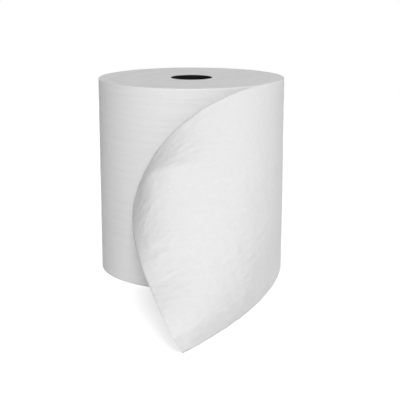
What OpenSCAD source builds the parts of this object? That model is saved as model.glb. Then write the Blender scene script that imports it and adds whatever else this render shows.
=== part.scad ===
// Hard-wound roll of paper hand towels, standing on end, with the end of the
// web hanging loose in front of it. The roll's axis is Z and its base is z = 0.

/* [Roll] */
// Diameter of the wound roll
roll_d = 195; // [130:1:240]
// Width of the paper web, which is the height of the standing roll
web_w = 203.2; // [120:0.1:300]
// Thickness of the web where it hangs loose, with its crepe and creases
web_t = 0.3; // [0.2:0.05:0.6]

/* [Turns on the ends] */
// Distance from one winding mark to the next
mark_pitch = 5; // [4:0.5:10]
// Width of a winding mark
mark_w = 2.4; // [1:0.1:3]
// Depth of a winding mark
mark_depth = 0.3; // [0.15:0.05:0.8]

/* [Core] */
// Bore of the paperboard core
core_bore_d = 41.3; // [30:0.1:60]
// Wall of the core
core_wall = 1.2; // [0.6:0.1:3]

/* [Loose tail] */
// Where the web leaves the roll, in degrees from the right, seen from above
leave_angle = -5; // [-60:1:60]
// How much of the last turn has come off, in degrees round the roll
loose_turn = 164; // [60:1:164]
// Slack under the last turn where it leaves the roll
loose_gap = 0.7; // [0.5:0.1:2]

/* [Hidden] */

PAPER_WHITE = "whitesmoke";
BOARD_GREY = "dimgray";

roll_r = roll_d / 2;
core_r = core_bore_d / 2 + core_wall;

// The outline is a spiral of two half turns, whose centres lie half a step apart
leave_step = web_t + loose_gap;
half_turn = 180;
ROUND_FN = 144;
MARK_FN = 72;

// The winding marks are one spiral too, with its own pitch
first_mark_r = core_r + 1.5 * mark_pitch;
mark_room = roll_r - leave_step - mark_w - first_mark_r;
mark_count = floor(mark_room / mark_pitch) + 1;
CUT_CLEAR = 1;

// Guide points of the loose tail, one row for each line along the web, from its
// bottom edge to its top edge. A point is [along, away, up]: along and away are
// roll radii, measured from the line where the web leaves, and up is web widths
tail_guides = [
    [[0, 0, 0.00], [0.7, 0, 0.00], [1.4, -0.20, 0.00], [2.10, -0.45, 0.00], [2.75, -0.85, 0.00]],
    [[0, 0, 0.35], [0.7, 0, 0.35], [1.4, 0.05, 0.25], [2.40, 0.00, 0.40], [2.50, -1.25, 0.30]],
    [[0, 0, 0.65], [0.7, 0, 0.65], [1.7, 0.50, 0.75], [2.15, -1.60, 0.80], [1.75, -1.45, 0.35]],
    [[0, 0, 1.00], [0.7, 0, 1.00], [1.5, -0.80, 1.08], [1.20, -1.30, 0.75], [1.10, -1.50, 0.45]],
];
// The share of a turn that the guide points hold
guided_turn = 164;
tail_end = loose_turn / guided_turn;

tail_stations = 36;
tail_strips = 10;
// The tail's root runs back into the last turn, under its face and inside its ends
root_len = 2;
root_sink = 0.25;
face_sink = 0.05;
NORMAL_STEP = 0.001;

function bezier(p, t) = len(p) == 1
    ? p[0]
    : bezier([for (i = [0 : len(p) - 2]) p[i] * (1 - t) + p[i + 1] * t], t);

// A place on the tail's outer face: u runs along the web, v from bottom to top
function tail_face(u, v) =
    let (g = bezier([for (row = tail_guides) bezier(row, u)], v))
    [roll_r * (1 + g.y), -roll_r * g.x, web_w * g.z];

// The direction out of the tail's outer face
function tail_normal(u, v) =
    let (
        v_in = min(v, 1 - NORMAL_STEP),
        here = tail_face(u, v_in),
        along = tail_face(u + NORMAL_STEP, v_in) - here,
        across = tail_face(u, v_in + NORMAL_STEP) - here,
        n = cross(across, along)
    )
    n / norm(n);

// A place at a depth under the outer face, never under what the roll stands on
function tail_point(u, v, depth) =
    let (p = tail_face(u, v) - depth * tail_normal(u, v))
    [p.x, p.y, max(p.z, 0)];

function root_point(v, depth) =
    [roll_r - root_sink - depth, root_len, root_len + v * (web_w - 2 * root_len)];

// One cross-section of the tail: up the outer face, then down the inner face
function tail_ring(station) =
    let (u = tail_end * station / tail_stations, depths = [face_sink, face_sink + web_t])
    [for (side = [0, 1], k = [0 : tail_strips])
        let (v = (side == 0 ? k : tail_strips - k) / tail_strips)
        station == 0 ? root_point(v, depths[side]) : tail_point(u, v, depths[side])];

// Half of a turned shape, on the side where the last turn still lies on the roll
module wound_half(fn) {
    rotate_extrude(angle = half_turn, $fn = fn)
        children();
}

// The other half, about a centre that is moved by half the spiral's step
module leaving_half(step, fn) {
    translate([-step / 2, 0, 0])
        rotate([0, 0, half_turn])
            rotate_extrude(angle = half_turn, $fn = fn)
                children();
}

// Section of one winding mark, as a groove in the end at z = 0
module mark_section(r) {
    flare = mark_w / 2 * (1 + CUT_CLEAR / mark_depth);
    polygon([[r - flare, -CUT_CLEAR], [r + flare, -CUT_CLEAR], [r, mark_depth]]);
}

module winding_marks() {
    for (i = [0 : mark_count - 1]) {
        r = first_mark_r + i * mark_pitch;
        wound_half(MARK_FN)
            mark_section(r);
        leaving_half(mark_pitch, MARK_FN)
            mark_section(r - mark_pitch / 2);
    }
}

module wound_turns() {
    difference() {
        union() {
            wound_half(ROUND_FN)
                square([roll_r, web_w]);
            leaving_half(leave_step, ROUND_FN)
                square([roll_r - leave_step / 2, web_w]);
        }
        translate([0, 0, -CUT_CLEAR])
            cylinder(r = core_r, h = web_w + 2 * CUT_CLEAR, $fn = ROUND_FN);
        winding_marks();
        translate([0, 0, web_w])
            mirror([0, 0, 1])
                winding_marks();
    }
}

module loose_tail() {
    rings = [for (station = [0 : tail_stations]) tail_ring(station)];
    ring_len = 2 * (tail_strips + 1);
    last = len(rings) - 1;
    skin = [
        for (i = [0 : last - 1], k = [0 : ring_len - 1])
            let (a = i * ring_len + k, b = i * ring_len + (k + 1) % ring_len)
            each [[a, a + ring_len, b], [b, a + ring_len, b + ring_len]]
    ];
    ends = [
        for (k = [0 : tail_strips - 1])
            let (a = k, b = k + 1, c = ring_len - 2 - k, d = ring_len - 1 - k, e = last * ring_len)
            each [[a, b, d], [b, c, d], [e + a, e + d, e + b], [e + b, e + d, e + c]]
    ];
    polyhedron(points = [for (ring = rings) each ring], faces = concat(skin, ends));
}

module paper() {
    color(PAPER_WHITE)
        rotate([0, 0, leave_angle]) {
            wound_turns();
            loose_tail();
        }
}

// The core is sawn from the log with the paper, so its ends are flush with the roll's
module core() {
    color(BOARD_GREY)
        difference() {
            cylinder(r = core_r, h = web_w, $fn = ROUND_FN);
            translate([0, 0, -CUT_CLEAR])
                cylinder(d = core_bore_d, h = web_w + 2 * CUT_CLEAR, $fn = ROUND_FN);
        }
}

paper();
core();
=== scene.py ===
"""Large hard-wound roll of paper hand towel, standing on end, its outer end hanging loose.

Lengths in this file are millimetres, apart from the lamps', and Z is up the roll's axis. MM
turns a length to metres.
"""
import math

import bmesh
import bpy
from mathutils import Matrix, Vector, noise


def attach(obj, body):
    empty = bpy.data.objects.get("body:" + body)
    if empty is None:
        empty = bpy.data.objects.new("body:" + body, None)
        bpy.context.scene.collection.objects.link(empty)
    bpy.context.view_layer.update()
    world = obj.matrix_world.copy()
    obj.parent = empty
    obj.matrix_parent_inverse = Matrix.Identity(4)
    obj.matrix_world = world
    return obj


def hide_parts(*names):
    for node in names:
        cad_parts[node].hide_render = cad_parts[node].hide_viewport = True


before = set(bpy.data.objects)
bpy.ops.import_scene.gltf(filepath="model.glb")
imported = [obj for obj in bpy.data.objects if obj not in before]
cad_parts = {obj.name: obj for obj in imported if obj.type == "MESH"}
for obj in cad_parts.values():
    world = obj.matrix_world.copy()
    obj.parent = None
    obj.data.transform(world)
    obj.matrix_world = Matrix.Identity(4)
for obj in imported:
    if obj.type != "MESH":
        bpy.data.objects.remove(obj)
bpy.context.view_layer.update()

MM = 0.001

# The roll, as in the part's source
ROLL_R = 97.5
WEB_W = 203.2
LEAVE_STEP = 1.0
LEAVE_ANGLE = -5
BORE_R = 20.65
CORE_R = 21.85
MARK_PITCH = 5.0

# The outer turn and the tail are one web, close to its real thickness, with a hair's room
# under it. Its grid has stations along the web and strips from edge to edge
WEB_T = 0.15
WEB_CLEAR = 0.03
TURN_STATIONS = 116
TAIL_STATIONS = 190
WEB_STRIPS = 144

# The tail's guide points, as in the part's source: a row from the bottom edge to the top
# edge, each point [along, away, up] in roll radii and web widths
TAIL_GUIDES = [
    [(0, 0, 0.00), (0.7, 0, 0.00), (1.4, -0.20, 0.00), (2.10, -0.45, 0.00), (2.75, -0.85, 0.00)],
    [(0, 0, 0.35), (0.7, 0, 0.35), (1.4, 0.05, 0.25), (2.40, 0.00, 0.40), (2.50, -1.25, 0.30)],
    [(0, 0, 0.65), (0.7, 0, 0.65), (1.7, 0.50, 0.75), (2.15, -1.60, 0.80), (1.75, -1.45, 0.35)],
    [(0, 0, 1.00), (0.7, 0, 1.00), (1.5, -0.80, 1.08), (1.20, -1.30, 0.75), (1.10, -1.50, 0.45)],
]

# The web is taut on the roll. It slackens over the first stretch of the tail, and finer
# crinkles set in after that
SLACKENS = (0, 70)
RUMPLES = (70, 170)

# Relief of the loose web: broad swells, waves from edge to edge, puckers and specks, each
# (where it sets in, rise, grain). A grain is the length, height and seed of a noise
LOOSE_RELIEF = [
    (SLACKENS, 0.45, (38, 30, 3.1)),
    (SLACKENS, 0.26, (9, 120, 2.4)),
    (RUMPLES, 0.34, (10, 12, 7.7)),
    (RUMPLES, 0.16, (5, 5, 1.3)),
]

# Relief of the taut web, each (rise, grain): bands round the roll, and faint puckers. It is
# lifted by as much as the bands can fall
TAUT_RELIEF = [(0.12, (32, 6, 5.5)), (0.06, (10, 12, 7.7))]
TAUT_LIFT = 0.12

# Short wrinkles run mostly along the loose web, in patches: their height, the share of the
# noise that one takes up, the grain of the lines and of the patches, and each set's seed
WRINKLE_RISE = 0.45
WRINKLE_WIDTH = 0.28
WRINKLE_GRAIN = (21, 8)
PATCH_GRAIN = (40, 28)
PATCH_EDGE = (-0.3, 0.35)
PATCH_SEED_STEP = 0.5
WRINKLE_SEEDS = (11.3, 17.8)

# Creases in the tail, each (from, to, depth, half width): a place is (along, up) on the flat
# web in millimetres, from the leaving line and the bottom edge
CREASES = [
    ((276, 66), (248, 66), 0.55, 1.8),
    ((243, 46), (217, 31), 0.50, 2.2),
    ((166, 157), (122, 169), 0.45, 2.6),
    ((214, 96), (186, 104), 0.35, 2.4),
    ((232, 120), (204, 136), 0.30, 2.6),
    ((196, 140), (176, 128), 0.30, 2.4),
    ((262, 104), (240, 88), 0.35, 2.2),
    ((206, 62), (180, 76), 0.30, 2.6),
]
# How fast a crease fades from its middle, and the share of its length that it may run past
CREASE_FADE = 6
CREASE_PAST = 0.3

# A slack fold runs in from a nick in the free upper edge: a ridge with a narrow crest. It
# rises and falls again over these shares of the way from one place to the other
FOLD_FROM = (236.0, 173.0)
FOLD_TO = (186.0, 150.0)
FOLD_RISES = (-0.45, 0.25)
FOLD_FALLS = (0.4, 1.4)
FOLD_HEIGHT = 9.0
FOLD_ABOVE = 15.0
FOLD_BELOW = 36.0
FOLD_CREST = 5.0

# The foot of the tail rolls under, more and more towards its free corner: it swells forwards
# and a little up, and the cut edge stays straight
FOOT_UP = 18.0
FOOT_FADE = 34.0
FOOT_RISE = 15.0
FOOT_START = (140.0, 265.0)
FOOT_WAY = Vector((0.0, -0.93, 0.37))

# Relief of the turns' edges on the roll's ends: rings, each (rise, width, seed of a noise),
# and patches where the saw dragged them, (rise, width, number in a radian, seed)
END_RINGS = [(0.16, 3.4, 0.4), (0.10, 1.9, 9.1)]
END_PATCHES = (0.10, 16, 1.2, 4)

# The relief lies this far inside the width of the web, on the lower and on the upper end
LOWER_END_IN = 0.3
UPPER_END_IN = 0.15


# Materials


def linear(hex_colour):
    """An sRGB hex colour as linear red, green, blue and alpha."""
    parts = [int(hex_colour[i : i + 2], 16) / 255 for i in (1, 3, 5)]
    return [p / 12.92 if p <= 0.04045 else ((p + 0.055) / 1.055) ** 2.4 for p in parts] + [1.0]


def add_node(tree, kind, settings=None, **links):
    """Adds a node. settings are its attributes, and links are its inputs by name or number:
    each is a value, a socket, or a node whose first output is taken."""
    node = tree.nodes.new(kind)
    for key, value in (settings or {}).items():
        setattr(node, key, value)
    for key, value in links.items():
        key = key.replace("_", " ")
        socket = node.inputs[int(key[3:])] if key.startswith("in ") else node.inputs[key]
        if isinstance(value, bpy.types.Node):
            tree.links.new(value.outputs[0], socket)
        elif isinstance(value, bpy.types.NodeSocket):
            tree.links.new(value, socket)
        else:
            socket.default_value = value
    return node


def new_material(name):
    """A material with an empty node tree."""
    material = bpy.data.materials.new(name)
    material.use_nodes = True
    material.node_tree.nodes.clear()
    return material, material.node_tree


def finish_material(tree, shader):
    """Ends a material's node tree with its output."""
    add_node(tree, "ShaderNodeOutputMaterial", Surface=shader)


def crepe_paper():
    """Creped tissue paper, bleached white. The doctor blade leaves fine ridges across the web,
    which are drawn about twice too coarse so that they show, and the fibres catch no gloss.
    On the roll the web is taut and shows faint streaks round it; loose, it is softly mottled."""
    material, tree = new_material("bleached_crepe_tissue")
    web = add_node(tree, "ShaderNodeUVMap", {"uv_map": "web"})
    # Crepe ridges 0.9 mm apart and 12 mm long, straight across the web
    place = add_node(tree, "ShaderNodeMapping", Vector=web, Scale=(1100, 80, 1))
    crepe = add_node(tree, "ShaderNodeTexNoise", Vector=place, Scale=1.0, Detail=3.0)
    # Streaks round the roll, 5 mm high and some 80 mm long, where the web was wound harder
    place = add_node(tree, "ShaderNodeMapping", Vector=web, Scale=(12, 200, 1))
    streaks = add_node(tree, "ShaderNodeTexNoise", Vector=place, Scale=1.0, Detail=2.0)
    # Soft mottling of the loose web, 5 to 6 mm across
    place = add_node(tree, "ShaderNodeMapping", Vector=web, Scale=(170, 200, 1))
    mottling = add_node(tree, "ShaderNodeTexNoise", Vector=place, Scale=1.0, Detail=3.0)
    # The mottling takes over from the streaks in the first 80 mm from the leaving line
    parts = add_node(tree, "ShaderNodeSeparateXYZ", Vector=web)
    slack = add_node(tree, "ShaderNodeMapRange", Value=parts.outputs["X"], From_Max=0.08)
    relief = add_node(tree, "ShaderNodeMix", in_0=slack, in_2=streaks, in_3=mottling)
    # Fibre clumps 3 mm across
    clumps = add_node(tree, "ShaderNodeTexNoise", Vector=web, Scale=330, Detail=5.0)
    tone = add_node(tree, "ShaderNodeMix", in_0=0.5, in_2=relief, in_3=clumps)
    colour = add_node(tree, "ShaderNodeValToRGB", Fac=tone)
    colour.color_ramp.elements[0].position = 0.30
    colour.color_ramp.elements[0].color = linear("#efefef")
    colour.color_ramp.elements[1].position = 0.70
    colour.color_ramp.elements[1].color = linear("#f4f4f4")
    fine = add_node(tree, "ShaderNodeBump", Height=crepe, Distance=0.0002, Strength=0.6)
    soft = add_node(
        tree, "ShaderNodeBump", Height=relief, Distance=0.0012, Strength=0.5, Normal=fine
    )
    shader = add_node(
        tree, "ShaderNodeBsdfPrincipled", Base_Color=colour, Roughness=0.95, Normal=soft
    )
    shader.inputs["Specular IOR Level"].default_value = 0.15
    shader.inputs["Sheen Weight"].default_value = 0.10
    finish_material(tree, shader)
    return material


def wound_ends():
    """The sawn edges of the wound tissue. Hundreds of turns are too fine to see apart, so lines
    0.8 mm apart stand for them, and the cut fibres make the face a little darker and duller."""
    material, tree = new_material("sawn_tissue_turns")
    place = add_node(tree, "ShaderNodeTexCoord").outputs["Object"]
    parts = add_node(tree, "ShaderNodeSeparateXYZ", Vector=place)
    x, y = parts.outputs["X"], parts.outputs["Y"]
    flat = add_node(tree, "ShaderNodeCombineXYZ", X=x, Y=y)
    radius = add_node(tree, "ShaderNodeVectorMath", {"operation": "LENGTH"}, in_0=flat)
    turn = add_node(tree, "ShaderNodeMath", {"operation": "ARCTAN2"}, in_0=y, in_1=x)
    # The turns are a spiral: a step of 5 mm a turn keeps the marks' own slope
    step = MARK_PITCH * MM / math.tau
    slope = add_node(tree, "ShaderNodeMath", {"operation": "MULTIPLY"}, in_0=turn, in_1=step)
    along = add_node(
        tree, "ShaderNodeMath", {"operation": "ADD"}, in_0=radius.outputs["Value"], in_1=slope
    )
    spiral = add_node(tree, "ShaderNodeCombineXYZ", X=along)
    lines = add_node(tree, "ShaderNodeTexNoise", Vector=spiral, Scale=1250, Detail=4.0)
    # Broader rings, 8 mm wide, where the web was wound harder
    rings = add_node(tree, "ShaderNodeTexNoise", Vector=spiral, Scale=130, Detail=2.0)
    # Where the saw dragged the fibres, in patches 17 mm across
    patches = add_node(tree, "ShaderNodeTexNoise", Vector=place, Scale=60, Detail=4.0)
    ringed = add_node(tree, "ShaderNodeMix", in_0=0.45, in_2=lines, in_3=rings)
    tone = add_node(tree, "ShaderNodeMix", in_0=0.3, in_2=ringed, in_3=patches)
    colour = add_node(tree, "ShaderNodeValToRGB", Fac=tone)
    colour.color_ramp.elements[0].position = 0.30
    colour.color_ramp.elements[0].color = linear("#e0e0e0")
    colour.color_ramp.elements[1].position = 0.70
    colour.color_ramp.elements[1].color = linear("#f2f2f2")
    bump = add_node(tree, "ShaderNodeBump", Height=lines, Distance=0.0003, Strength=0.5)
    shader = add_node(
        tree, "ShaderNodeBsdfPrincipled", Base_Color=colour, Roughness=1.0, Normal=bump
    )
    shader.inputs["Specular IOR Level"].default_value = 0.1
    finish_material(tree, shader)
    return material


def core_board():
    """Paperboard tube stock, coloured nearly black all through as painted shade for the deep,
    dim bore, with short fibres and little sheen.
    """
    material, tree = new_material("paperboard_blackened_as_bore_shade")
    place = add_node(tree, "ShaderNodeTexCoord").outputs["Object"]
    # Fibre tufts 2.5 mm across
    fibres = add_node(tree, "ShaderNodeTexNoise", Vector=place, Scale=400, Detail=6.0)
    # Painted shade: these near-black colours stand in for the shade inside the bore, not the
    # board's own brown
    colour = add_node(tree, "ShaderNodeValToRGB", Fac=fibres)
    colour.color_ramp.elements[0].position = 0.35
    colour.color_ramp.elements[0].color = linear("#121211")
    colour.color_ramp.elements[1].position = 0.70
    colour.color_ramp.elements[1].color = linear("#1c1b1a")
    bump = add_node(tree, "ShaderNodeBump", Height=fibres, Distance=0.0003, Strength=0.4)
    shader = add_node(
        tree, "ShaderNodeBsdfPrincipled", Base_Color=colour, Roughness=0.9, Normal=bump
    )
    shader.inputs["Specular IOR Level"].default_value = 0.1
    finish_material(tree, shader)
    return material


# The web


def turned(place):
    """A place in the roll's own frame, turned to where the web leaves it."""
    return Matrix.Rotation(math.radians(LEAVE_ANGLE), 3, "Z") @ Vector(place)


def outline(turn, inset=0.0):
    """The roll's outline at an angle back along the last turn from the leaving line: two half
    turns, whose centres lie half a step apart."""
    lower = turn > math.pi
    centre = -LEAVE_STEP / 2 if lower else 0.0
    radius = ROLL_R - inset - (LEAVE_STEP / 2 if lower else 0.0)
    return centre + radius * math.cos(turn), radius * math.sin(turn)


def bezier(points, t):
    """A point of a Bezier curve, by repeated interpolation."""
    points = [Vector(p) for p in points]
    while len(points) > 1:
        points = [a.lerp(b, t) for a, b in zip(points, points[1:])]
    return points[0]


def tail_face(u, v):
    """A place on the tail's outer face: u runs along the web, v from the bottom to the top."""
    along, away, up = bezier([bezier(row, u) for row in TAIL_GUIDES], v)
    return ROLL_R * (1 + away), -ROLL_R * along, WEB_W * up


def tail_lengths(samples=200):
    """The length of the tail's middle line up to each of its samples."""
    line = [Vector(tail_face(i / samples, 0.5)) for i in range(samples + 1)]
    lengths = [0.0]
    for a, b in zip(line, line[1:]):
        lengths.append(lengths[-1] + (b - a).length)
    return lengths


LENGTHS = tail_lengths()
TAIL_LEN = LENGTHS[-1]
TURN_LEN = math.tau * ROLL_R


def tail_share(length):
    """How far along the tail's guide curves a length of web lies, from 0 to 1."""
    last = len(LENGTHS) - 1
    for i in range(last):
        if length <= LENGTHS[i + 1]:
            return (i + (length - LENGTHS[i]) / (LENGTHS[i + 1] - LENGTHS[i])) / last
    return 1.0


def web_place(station, strip):
    """The flat web's (along, up) at a grid place, in millimetres from the leaving line."""
    up = WEB_W * strip / WEB_STRIPS
    if station < TURN_STATIONS:
        return -TURN_LEN * (1 - station / TURN_STATIONS), up
    return TAIL_LEN * (station - TURN_STATIONS) / TAIL_STATIONS, up


def ease(low, high, value):
    """From 0 at low to 1 at high, with no corner at either."""
    share = min(max((value - low) / (high - low), 0), 1)
    return share * share * (3 - 2 * share)


def web_noise(along, up, length, height, seed):
    """A noise over the flat web, with a grain of this length along it and height up it."""
    return noise.noise(Vector((along / length, up / height, seed)))


def wrinkle(along, up, seed):
    """One set of short wrinkles, in loose patches: they follow where a noise crosses nothing."""
    line = web_noise(along, up, *WRINKLE_GRAIN, seed)
    patch = ease(*PATCH_EDGE, web_noise(along, up, *PATCH_GRAIN, seed + PATCH_SEED_STEP))
    return WRINKLE_RISE * patch * math.exp(-((line / WRINKLE_WIDTH) ** 2))


def crease(place, start, end, depth, half_width):
    """The dent of one crease: deepest in its middle, and gone at its ends and its sides."""
    start, end = Vector(start), Vector(end)
    run = end - start
    share = (place - start).dot(run) / run.length_squared
    if not -CREASE_PAST < share < 1 + CREASE_PAST:
        return 0.0
    side = (place - start - share * run).length
    fade = math.exp(-((share - 0.5) ** 2) * CREASE_FADE)
    return -depth * fade * math.exp(-((side / half_width) ** 2))


def fold(place):
    """The rise of the slack fold: highest near the edge, and gone at its inner end."""
    start, run = Vector(FOLD_FROM), Vector(FOLD_TO) - Vector(FOLD_FROM)
    share = (place - start).dot(run) / run.length_squared
    aside = place - start - share * run
    width = FOLD_ABOVE if aside.y > 0 else FOLD_BELOW
    window = ease(*FOLD_RISES, share) * (1 - ease(*FOLD_FALLS, share))
    away = math.hypot(aside.length, FOLD_CREST) - FOLD_CREST
    return FOLD_HEIGHT * window * math.exp(-away / width)


def crinkle(along, up):
    """How far the web stands out from its smooth shape: little on the roll, more on the tail."""
    taut = TAUT_LIFT + sum(rise * web_noise(along, up, *grain) for rise, grain in TAUT_RELIEF)
    loose = sum(
        ease(*sets_in, along) * rise * web_noise(along, up, *grain)
        for sets_in, rise, grain in LOOSE_RELIEF
    )
    wrinkles = sum(wrinkle(along, up, seed) for seed in WRINKLE_SEEDS)
    relief = (1 - ease(*SLACKENS, along)) * taut + loose + ease(*RUMPLES, along) * wrinkles
    place = Vector((along, up))
    return relief + sum(crease(place, *facts) for facts in CREASES) + fold(place)


def foot(along, up):
    """The roll of the tail's foot: out from the bottom edge, and slowly back above."""
    if up < FOOT_UP:
        fall = math.sin(math.pi / 2 * up / FOOT_UP)
    else:
        fall = math.exp(-(((up - FOOT_UP) / FOOT_FADE) ** 2))
    return FOOT_WAY * FOOT_RISE * ease(*FOOT_START, along) * fall


def make_web():
    """The outermost turn and the tail, one sheet from under the leaving line to the free end."""
    bm = bmesh.new()
    stations = TURN_STATIONS + TAIL_STATIONS
    # The grid is a unit square about the origin, so a place on it tells the station and strip
    bmesh.ops.create_grid(bm, x_segments=stations, y_segments=WEB_STRIPS, size=0.5)
    bmesh.ops.reverse_faces(bm, faces=bm.faces)
    uv = bm.loops.layers.uv.new("web")
    flat = {}
    for vert in bm.verts:
        station = round((vert.co.x + 0.5) * stations)
        strip = round((vert.co.y + 0.5) * WEB_STRIPS)
        along, up = web_place(station, strip)
        flat[vert] = along, up
        if along < 0:
            x, y = outline(-along / ROLL_R)
            place = x, y, up
        else:
            place = Vector(tail_face(tail_share(along), up / WEB_W)) + foot(along, up)
        vert.co = turned(place)
    for face in bm.faces:
        for loop in face.loops:
            along, up = flat[loop.vert]
            loop[uv].uv = along * MM, up * MM
    bm.normal_update()
    for vert, (along, up) in flat.items():
        vert.co += vert.normal * crinkle(along, up)
        vert.co.z = max(vert.co.z, 0)
    return bm


# Wound turns and core


def spun(profile, steps):
    """A profile of (radius, height) points spun round the roll's axis, closed to a solid."""
    bm = bmesh.new()
    verts = [bm.verts.new((r, 0, z)) for r, z in profile]
    edges = [bm.edges.new(pair) for pair in zip(verts, verts[1:])]
    edges.append(bm.edges.new((verts[-1], verts[0])))
    bmesh.ops.spin(
        bm,
        geom=verts + edges,
        cent=(0, 0, 0),
        axis=(0, 0, 1),
        angle=math.tau,
        steps=steps,
        use_merge=True,
    )
    bmesh.ops.remove_doubles(bm, verts=bm.verts, dist=1e-4)
    bmesh.ops.recalc_face_normals(bm, faces=bm.faces)
    return bm


def end_relief(radius, turn):
    """How far the turns' edges stand out of or into the end, along the spiral they follow."""
    spiral = radius + MARK_PITCH * turn / math.tau
    rings = sum(
        rise * noise.noise(Vector((spiral / width, seed, 0))) for rise, width, seed in END_RINGS
    )
    rise, width, in_radian, seed = END_PATCHES
    return rings + rise * noise.noise(Vector((radius / width, turn * in_radian, seed)))


def make_wound():
    """All the turns under the last one: a spun body whose ends show the turns' edges."""
    skin = ROLL_R - WEB_T - WEB_CLEAR
    # The outer corners are rounded, and the innermost turn stands off the core at both ends
    rim = 0.6
    corner = 0.3 * rim
    mouth = CORE_R + 0.05
    bore_rows, skin_rows, rings = 4, 5, 92
    widths = [CORE_R + (skin - rim - CORE_R) * i / rings for i in range(1, rings + 1)]
    profile = [(mouth, 0.0)]
    profile += [(CORE_R, WEB_W * i / bore_rows) for i in range(1, bore_rows)]
    profile += [(mouth, WEB_W)]
    profile += [(r, WEB_W) for r in widths]
    profile += [(skin - corner, WEB_W - corner), (skin, WEB_W - rim)]
    profile += [(skin, WEB_W * (1 - i / skin_rows)) for i in range(1, skin_rows)]
    profile += [(skin, rim), (skin - corner, corner)]
    profile += [(r, 0.0) for r in reversed(widths)]
    bm = spun(profile, steps=192)
    # What lies this close to an end belongs to it
    near = 0.1
    for vert in bm.verts:
        x, y, z = vert.co
        radius, turn = math.hypot(x, y), math.atan2(y, x) % math.tau
        edge_x, edge_y = outline(turn, WEB_T + WEB_CLEAR)
        share = (radius - CORE_R) / (skin - CORE_R)
        reach = math.hypot(edge_x, edge_y) / skin
        scale = 1 + (reach - 1) * share
        if z < near:
            z += end_relief(radius, -turn) + LOWER_END_IN
        elif z > WEB_W - near:
            z += end_relief(radius, turn) - UPPER_END_IN
        vert.co = turned((x * scale, y * scale, z))
    return bm


def make_core():
    """The paperboard tube, with the sawn edges of its wall a little rounded."""
    rim = 0.25
    rows = 24
    profile = [(BORE_R, rim)]
    profile += [(BORE_R, WEB_W * i / rows) for i in range(1, rows)]
    profile += [(BORE_R, WEB_W - rim), (BORE_R + rim, WEB_W), (CORE_R - rim, WEB_W)]
    profile += [(CORE_R, WEB_W - rim), (CORE_R, rim), (CORE_R - rim, 0), (BORE_R + rim, 0)]
    return spun(profile, steps=96)


def new_piece(name, bm, material):
    """An object of a bmesh that was made in millimetres, at the origin and smooth shaded."""
    bmesh.ops.scale(bm, vec=(MM, MM, MM), verts=bm.verts)
    mesh = bpy.data.meshes.new(name)
    bm.to_mesh(mesh)
    bm.free()
    mesh.shade_smooth()
    mesh.materials.append(material)
    piece = bpy.data.objects.new(name, mesh)
    bpy.context.scene.collection.objects.link(piece)
    return piece


wound = new_piece("wound_turns", make_wound(), wound_ends())
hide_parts("paper")
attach(wound, "root")

web = new_piece("outer_turn_and_tail", make_web(), crepe_paper())
thicken = web.modifiers.new("web_thickness", "SOLIDIFY")
thicken.thickness = WEB_T * MM
thicken.offset = -1
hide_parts("paper")
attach(web, "root")

core = new_piece("core_tube", make_core(), core_board())
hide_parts("core")
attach(core, "root")


# Floor, light and camera

# Half the floor's width, how much of white is added where the camera sees the floor, and the
# level of the sky's light
FLOOR_REACH = 1300
FLOOR_LIFT = 0.6
SKY_LEVEL = 0.15

# Every lamp is a softbox of this width. Its place and its aim are in metres
SOFTBOX_WIDTH = 1.2
ROLL_FRONT = (0, -0.05, 0.1)
ROLL_MIDDLE = (0, 0, 0.1)

# The camera, fitted to the photograph's rim, base and sides, with no shift. Its focal length is
# in pixels of the frame, and it looks down and a little to the right, in radians
CAMERA_PLACE = (-3.06, -1098.6, 328.8)
CAMERA_FOCAL = 1041.5
CAMERA_DOWN = 0.2312
CAMERA_RIGHT = 0.011
FRAME_PX = 400
SENSOR = 36


def picture_rays(tree):
    """1 on the rays that make the picture, straight or by way of gloss or glass, and else 0."""
    rays = add_node(tree, "ShaderNodeLightPath").outputs
    seen = rays["Is Camera Ray"]
    for kind in ("Is Glossy Ray", "Is Transmission Ray"):
        seen = add_node(
            tree, "ShaderNodeMath", {"operation": "MAXIMUM"}, in_0=seen, in_1=rays[kind]
        )
    return seen


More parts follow.
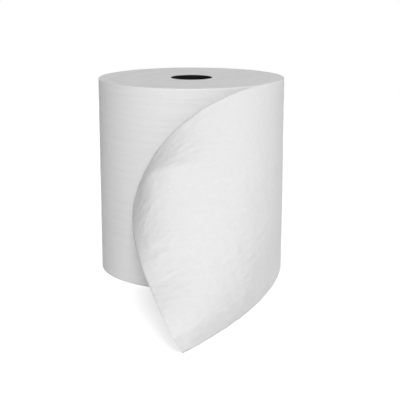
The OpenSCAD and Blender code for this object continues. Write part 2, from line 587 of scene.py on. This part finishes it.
def studio_white(name, colour, lift):
    """A pale seamless sweep. The camera sees it lifted to white, and shadows stay on it."""
    material, tree = new_material(name)
    paint = add_node(tree, "ShaderNodeBsdfDiffuse", Color=linear(colour))
    seen = picture_rays(tree)
    level = add_node(tree, "ShaderNodeMath", {"operation": "MULTIPLY"}, in_0=seen, in_1=lift)
    glow = add_node(tree, "ShaderNodeEmission", Strength=level)
    finish_material(tree, add_node(tree, "ShaderNodeAddShader", in_0=paint, in_1=glow))
    return material


floor_bm = bmesh.new()
bmesh.ops.create_grid(floor_bm, x_segments=1, y_segments=1, size=FLOOR_REACH)
sweep = studio_white("studio_sweep", "#e6e6e6", FLOOR_LIFT)
floor = new_piece("studio_floor", floor_bm, sweep)

world = bpy.data.worlds.new("studio")
bpy.context.scene.world = world
world.use_nodes = True
sky = world.node_tree
sky.nodes.clear()
sky_level = add_node(
    sky, "ShaderNodeMapRange", Value=picture_rays(sky), To_Min=SKY_LEVEL, To_Max=1.0
)
sky_light = add_node(sky, "ShaderNodeBackground", Color=(1, 1, 1, 1), Strength=sky_level)
add_node(sky, "ShaderNodeOutputWorld", Surface=sky_light)


def softbox(name, place, aim, power):
    """A square area lamp at a place, turned to its aim."""
    lamp = bpy.data.lights.new(name, "AREA")
    lamp.shape = "SQUARE"
    lamp.size = SOFTBOX_WIDTH
    lamp.energy = power
    lamp_object = bpy.data.objects.new(name, lamp)
    lamp_object.location = place
    turn = (Vector(aim) - Vector(place)).to_track_quat("-Z", "Y")
    lamp_object.rotation_euler = turn.to_euler()
    bpy.context.scene.collection.objects.link(lamp_object)


softbox("front_softbox", (0, -4.92, 1.22), ROLL_FRONT, 86)
softbox("high_softbox", (0, -3.59, 3.64), ROLL_FRONT, 91)
softbox("right_softbox", (2.85, 0.72, 0.62), ROLL_FRONT, 17)
softbox("top_back_softbox", (0.6, 1.2, 2.6), ROLL_FRONT, 12)
softbox("back_softbox", (0, 3.2, 0.5), ROLL_MIDDLE, 34)

camera = bpy.data.cameras.new("camera")
camera.sensor_width = SENSOR
camera.lens = CAMERA_FOCAL / FRAME_PX * SENSOR
camera_object = bpy.data.objects.new("camera", camera)
camera_object.location = Vector(CAMERA_PLACE) * MM
camera_object.rotation_euler = (math.pi / 2 - CAMERA_DOWN, 0, -CAMERA_RIGHT)
bpy.context.scene.collection.objects.link(camera_object)
bpy.context.scene.camera = camera_object

bpy.context.scene.view_settings.view_transform = "Standard"
